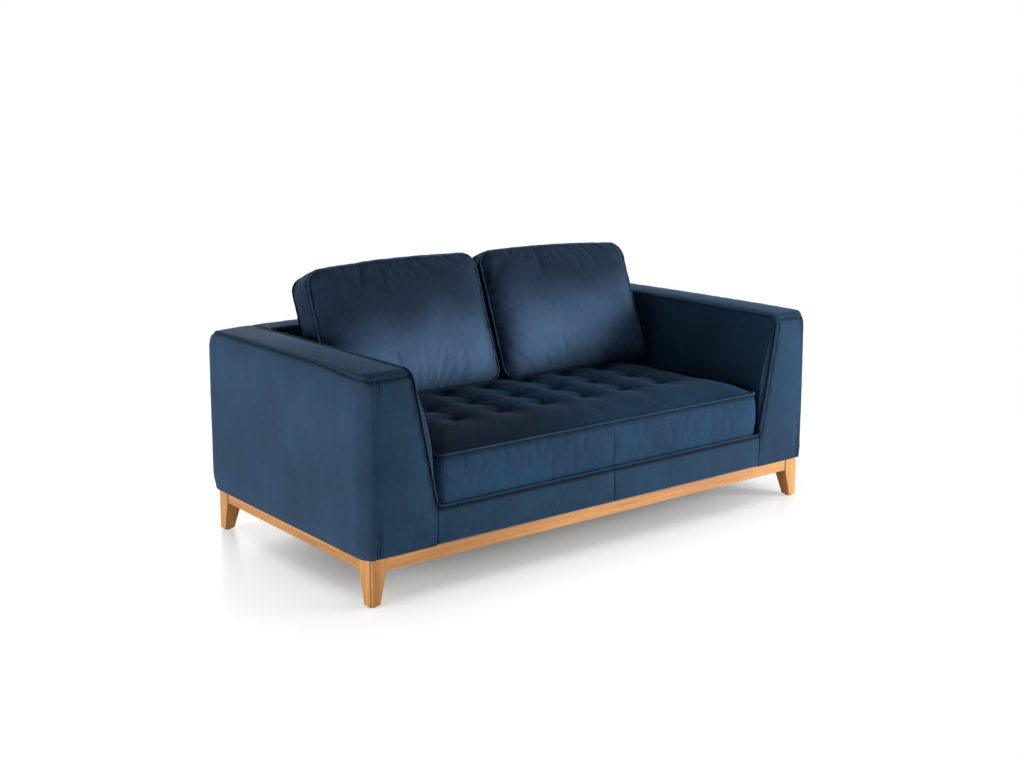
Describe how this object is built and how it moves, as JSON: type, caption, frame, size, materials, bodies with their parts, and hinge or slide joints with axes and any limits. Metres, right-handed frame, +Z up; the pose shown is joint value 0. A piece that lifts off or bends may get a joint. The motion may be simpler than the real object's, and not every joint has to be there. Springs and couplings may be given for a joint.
{
  "type": "sofa",
  "caption": "Low two-seat upholstered sofa with sloping arms, a tufted bench cushion, loose back cushions and a tapered wooden leg frame.",
  "frame": {"origin": "on the floor at the middle of the sofa's footprint", "axes": "+X to the right along the sofa as seen from the front, +Y to the rear, +Z up"},
  "size_m": [1.8, 0.9444, 0.8622],
  "materials": {
    "leg_wood": "satin",
    "frame_wood": "matte",
    "velvet": "matte",
    "velvet_cord": "matte",
    "filling": "matte",
    "strap_web": "matte",
    "dust_cloth": "matte",
    "steel": "satin",
    "glide_plastic": "matte",
    "thread": "matte"
  },
  "bodies": {
    "sofa_frame": {"leg_front_left": "leg_wood", "leg_front_right": "leg_wood", "leg_rear_left": "leg_wood", "leg_rear_right": "leg_wood", "apron_front": "leg_wood", "apron_rear": "leg_wood", "apron_side_left": "leg_wood", "apron_side_right": "leg_wood", "base_cross_rail": "frame_wood", "corner_blocks": "frame_wood", "base_screws": "steel", "leg_glides": "glide_plastic", "dust_cover": "dust_cloth", "arm_front_board_left": "frame_wood", "arm_front_board_right": "frame_wood", "arm_rear_board_left": "frame_wood", "arm_rear_board_right": "frame_wood", "arm_top_rail_left": "frame_wood", "arm_top_rail_right": "frame_wood", "arm_base_rail_left": "frame_wood", "arm_base_rail_right": "frame_wood", "arm_inner_rail_left": "frame_wood", "arm_inner_rail_right": "frame_wood", "arm_bolts": "steel", "arm_bolt_nuts": "steel", "arm_cover_left": "velvet", "arm_cover_right": "velvet", "back_base_rail": "frame_wood", "back_top_rail": "frame_wood", "back_ribs": "frame_wood", "back_straps": "strap_web", "back_cover": "velvet", "seat_front_rail": "frame_wood", "seat_rear_rail": "frame_wood", "seat_side_rails": "frame_wood", "seat_centre_bearer": "frame_wood", "seat_straps": "strap_web", "front_border": "velvet", "deck_pad": "velvet", "tub_welt": "velvet_cord"},
    "seat_cushion": {"seat_cushion_cover": "velvet", "seat_cushion_filling": "filling", "seat_cushion_welt": "velvet_cord", "seat_cushion_stitches": "thread"},
    "back_cushion_left": {"back_cushion_cover_left": "velvet", "back_cushion_filling_left": "filling", "back_cushion_front_welt_left": "velvet_cord", "back_cushion_rear_welt_left": "velvet_cord"},
    "back_cushion_right": {"back_cushion_cover_right": "velvet", "back_cushion_filling_right": "filling", "back_cushion_front_welt_right": "velvet_cord", "back_cushion_rear_welt_right": "velvet_cord"}
  },
  "joints": [
    {"name": "seat_cushion_lift", "type": "slide", "parent": "sofa_frame", "child": "seat_cushion", "axis": [0, 0, 1], "range_m": [0, 0.3]},
    {"name": "back_cushion_left_lift", "type": "slide", "parent": "seat_cushion", "child": "back_cushion_left", "axis": [0, 0, 1], "range_m": [0, 0.3]},
    {"name": "back_cushion_right_lift", "type": "slide", "parent": "seat_cushion", "child": "back_cushion_right", "axis": [0, 0, 1], "range_m": [0, 0.3]}
  ]
}
